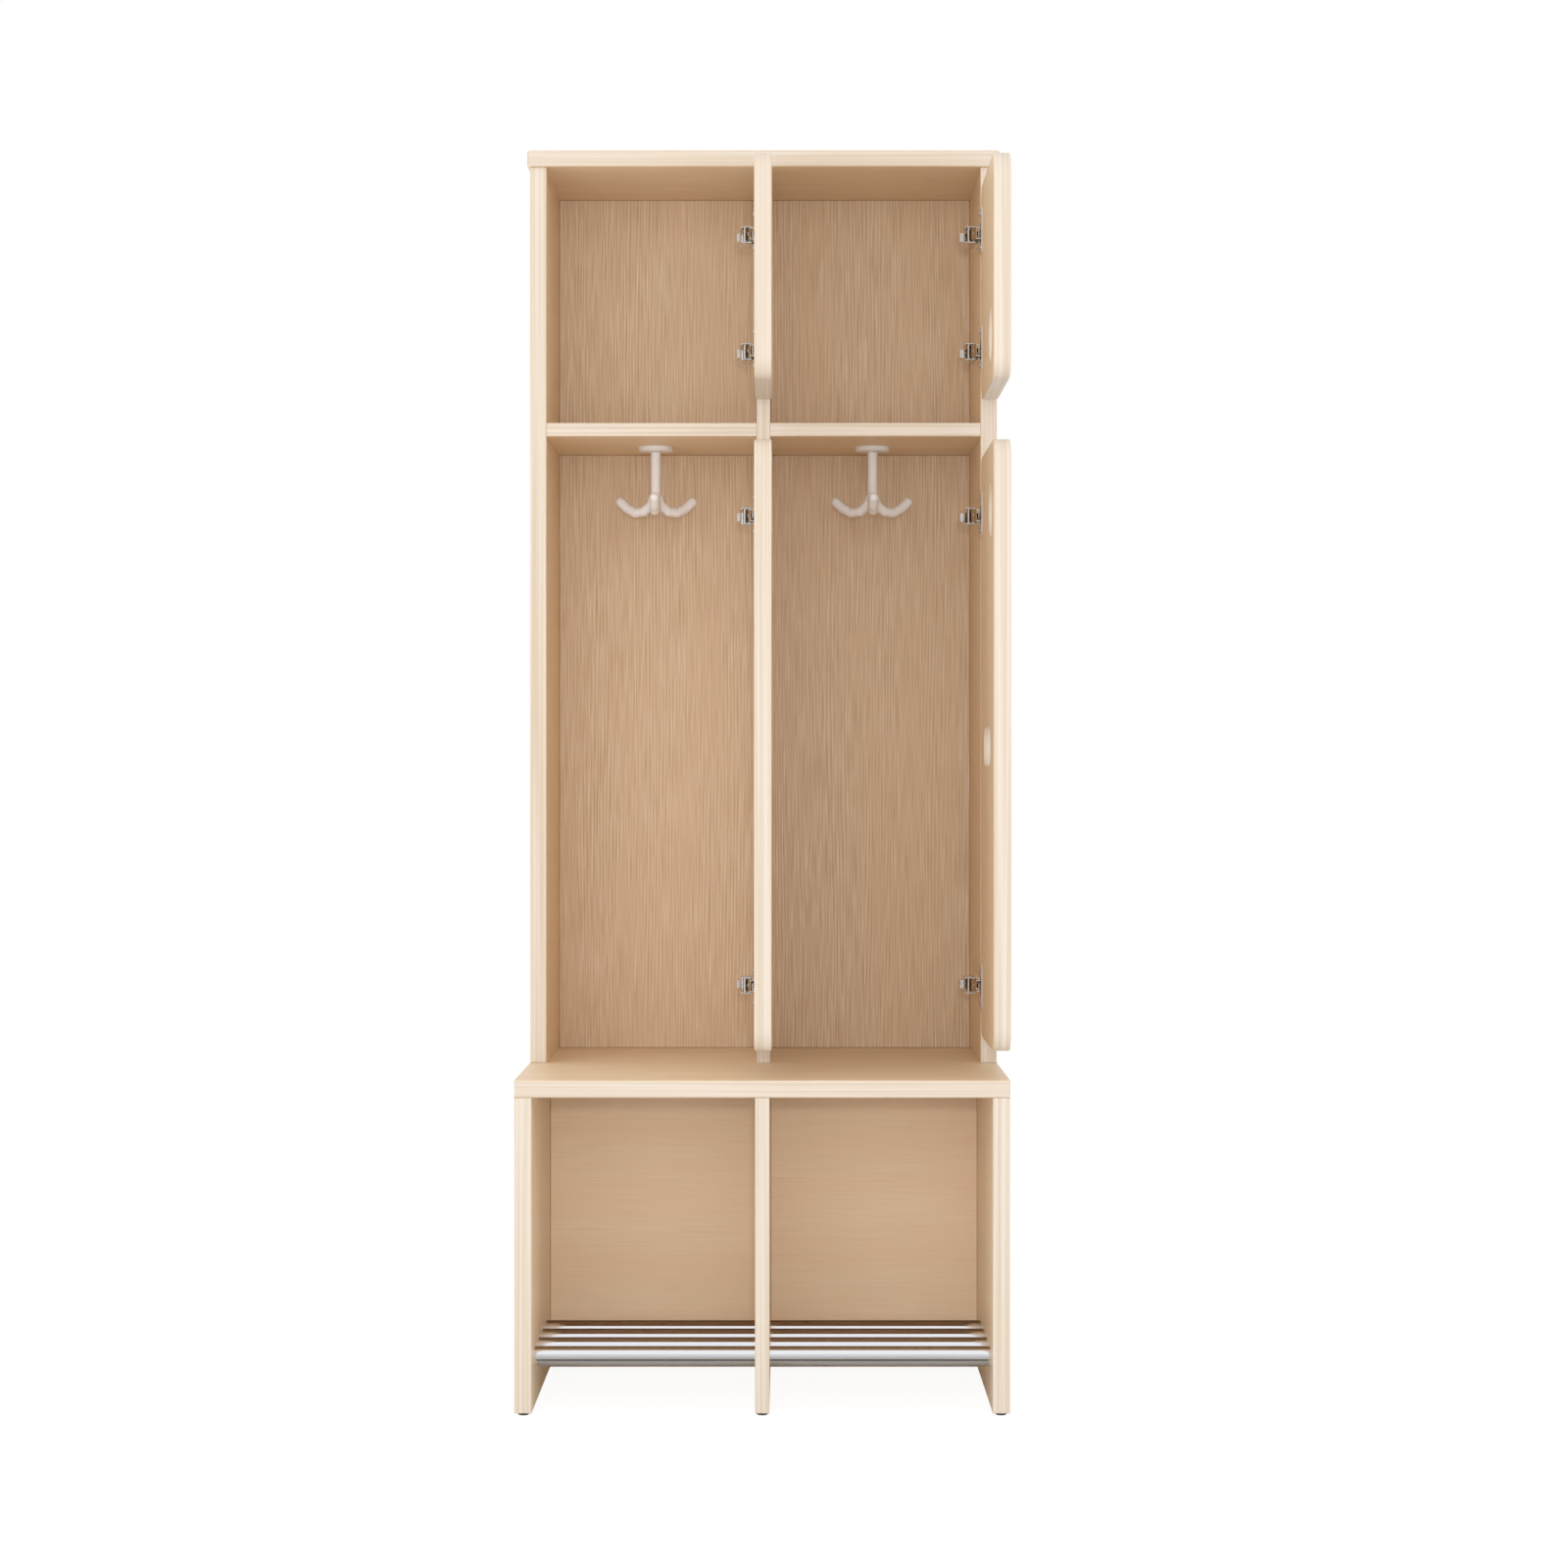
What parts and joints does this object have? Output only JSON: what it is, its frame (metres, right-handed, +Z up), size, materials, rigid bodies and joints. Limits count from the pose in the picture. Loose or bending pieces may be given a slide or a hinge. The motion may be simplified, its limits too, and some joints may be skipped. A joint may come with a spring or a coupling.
{
  "type": "cloakroom unit",
  "caption": "Cloakroom unit with a shoe bench, two coat compartments, hat compartments above, hinged doors and swivelling triple hooks.",
  "frame": {"origin": "middle of the unit's footprint on the floor, with the doors standing open: the bottom centre of the bounding box", "axes": "+Z up along the longest extent, +Y from the open front to the rear along the shortest extent, +X to the right of someone facing the front"},
  "size_m": [0.634, 0.601, 1.647],
  "materials": {
    "board_pine": "satin",
    "back_veneer": "satin",
    "dowel_beech": "matte",
    "glide_plastic": "matte",
    "tube_chrome": "polished",
    "hook_plastic": "satin",
    "hinge_nickel": "polished",
    "screw_steel": "satin"
  },
  "bodies": {
    "root": {"bench_side_left": "board_pine", "bench_side_right": "board_pine", "bench_divider": "board_pine", "bench_back_left": "board_pine", "bench_back_right": "board_pine", "seat_board": "board_pine", "cabinet_side_left": "board_pine", "cabinet_side_right": "board_pine", "cabinet_divider": "board_pine", "shelf_left": "board_pine", "shelf_right": "board_pine", "top_board": "board_pine", "cabinet_back": "back_veneer", "dowels": "dowel_beech", "glides": "glide_plastic", "shoe_tube_1": "tube_chrome", "shoe_tube_2": "tube_chrome", "shoe_tube_3": "tube_chrome", "shoe_tube_4": "tube_chrome", "hook_rosette_left": "hook_plastic", "hook_rosette_right": "hook_plastic", "hook_bolts": "screw_steel", "hinge_arms_upper_left": "hinge_nickel", "hinge_rivets_upper_left": "screw_steel", "hinge_plates_upper_left": "hinge_nickel", "hinge_arms_upper_right": "hinge_nickel", "hinge_rivets_upper_right": "screw_steel", "hinge_plates_upper_right": "hinge_nickel", "hinge_arms_lower_left": "hinge_nickel", "hinge_rivets_lower_left": "screw_steel", "hinge_plates_lower_left": "hinge_nickel", "hinge_arms_lower_right": "hinge_nickel", "hinge_rivets_lower_right": "screw_steel", "hinge_plates_lower_right": "hinge_nickel", "plate_screws": "screw_steel", "arm_screws": "screw_steel"},
    "hook_left": {"hook_left": "hook_plastic"},
    "hook_right": {"hook_right": "hook_plastic"},
    "door_upper_left": {"door_upper_left": "board_pine", "hinge_cups_upper_left": "hinge_nickel", "cup_screws_upper_left": "screw_steel"},
    "outer_links_upper_left": {"outer_links_upper_left": "hinge_nickel"},
    "inner_links_upper_left": {"inner_links_upper_left": "hinge_nickel"},
    "door_upper_right": {"door_upper_right": "board_pine", "hinge_cups_upper_right": "hinge_nickel", "cup_screws_upper_right": "screw_steel"},
    "outer_links_upper_right": {"outer_links_upper_right": "hinge_nickel"},
    "inner_links_upper_right": {"inner_links_upper_right": "hinge_nickel"},
    "door_lower_left": {"door_lower_left": "board_pine", "hinge_cups_lower_left": "hinge_nickel", "cup_screws_lower_left": "screw_steel"},
    "outer_links_lower_left": {"outer_links_lower_left": "hinge_nickel"},
    "inner_links_lower_left": {"inner_links_lower_left": "hinge_nickel"},
    "door_lower_right": {"door_lower_right": "board_pine", "hinge_cups_lower_right": "hinge_nickel", "cup_screws_lower_right": "screw_steel"},
    "outer_links_lower_right": {"outer_links_lower_right": "hinge_nickel"},
    "inner_links_lower_right": {"inner_links_lower_right": "hinge_nickel"}
  },
  "joints": [
    {"name": "door_upper_left_hinge", "type": "hinge", "parent": "root", "child": "door_upper_left", "pos_m": [-0.0021, -0.0116, 1.45575], "axis": [0, 0, 1], "range_deg": [-90, 10]},
    {"name": "outer_links_upper_left_pivot", "type": "hinge", "parent": "root", "child": "outer_links_upper_left", "pos_m": [-0.0245, 0.0031, 1.45575], "axis": [0, 0, 1], "range_deg": [-2.14, 19.27]},
    {"name": "inner_links_upper_left_pivot", "type": "hinge", "parent": "root", "child": "inner_links_upper_left", "pos_m": [-0.018, 0.0033, 1.45575], "axis": [0, 0, 1], "range_deg": [-1.89, 16.97]},
    {"name": "door_upper_right_hinge", "type": "hinge", "parent": "root", "child": "door_upper_right", "pos_m": [0.30115, -0.01335, 1.45575], "axis": [0, 0, 1], "range_deg": [-90, 10]},
    {"name": "outer_links_upper_right_pivot", "type": "hinge", "parent": "root", "child": "outer_links_upper_right", "pos_m": [0.2755, 0.0031, 1.45575], "axis": [0, 0, 1], "range_deg": [-1.85, 16.65]},
    {"name": "inner_links_upper_right_pivot", "type": "hinge", "parent": "root", "child": "inner_links_upper_right", "pos_m": [0.282, 0.0033, 1.45575], "axis": [0, 0, 1], "range_deg": [-1.59, 14.3]},
    {"name": "door_lower_left_hinge", "type": "hinge", "parent": "root", "child": "door_lower_left", "pos_m": [-0.0021, -0.0116, 0.8425], "axis": [0, 0, 1], "range_deg": [-90, 10]},
    {"name": "outer_links_lower_left_pivot", "type": "hinge", "parent": "root", "child": "outer_links_lower_left", "pos_m": [-0.0245, 0.0031, 0.8425], "axis": [0, 0, 1], "range_deg": [-2.14, 19.27]},
    {"name": "inner_links_lower_left_pivot", "type": "hinge", "parent": "root", "child": "inner_links_lower_left", "pos_m": [-0.018, 0.0033, 0.8425], "axis": [0, 0, 1], "range_deg": [-1.89, 16.97]},
    {"name": "door_lower_right_hinge", "type": "hinge", "parent": "root", "child": "door_lower_right", "pos_m": [0.30115, -0.01335, 0.8425], "axis": [0, 0, 1], "range_deg": [-90, 10]},
    {"name": "outer_links_lower_right_pivot", "type": "hinge", "parent": "root", "child": "outer_links_lower_right", "pos_m": [0.2755, 0.0031, 0.8425], "axis": [0, 0, 1], "range_deg": [-1.85, 16.65]},
    {"name": "inner_links_lower_right_pivot", "type": "hinge", "parent": "root", "child": "inner_links_lower_right", "pos_m": [0.282, 0.0033, 0.8425], "axis": [0, 0, 1], "range_deg": [-1.59, 14.3]},
    {"name": "hook_left_swivel", "type": "hinge", "parent": "root", "child": "hook_left", "pos_m": [-0.15, 0.1585, 1.22], "axis": [0, 0, 1], "continuous": true},
    {"name": "hook_right_swivel", "type": "hinge", "parent": "root", "child": "hook_right", "pos_m": [0.15, 0.1585, 1.22], "axis": [0, 0, 1], "continuous": true}
  ],
  "couplings": [
    {"joint": "outer_links_upper_left_pivot", "follows": "door_upper_left_hinge", "ratio": -0.21416},
    {"joint": "inner_links_upper_left_pivot", "follows": "door_upper_left_hinge", "ratio": -0.18853},
    {"joint": "outer_links_upper_right_pivot", "follows": "door_upper_right_hinge", "ratio": -0.18497},
    {"joint": "inner_links_upper_right_pivot", "follows": "door_upper_right_hinge", "ratio": -0.15889},
    {"joint": "outer_links_lower_left_pivot", "follows": "door_lower_left_hinge", "ratio": -0.21416},
    {"joint": "inner_links_lower_left_pivot", "follows": "door_lower_left_hinge", "ratio": -0.18853},
    {"joint": "outer_links_lower_right_pivot", "follows": "door_lower_right_hinge", "ratio": -0.18497},
    {"joint": "inner_links_lower_right_pivot", "follows": "door_lower_right_hinge", "ratio": -0.15889}
  ]
}
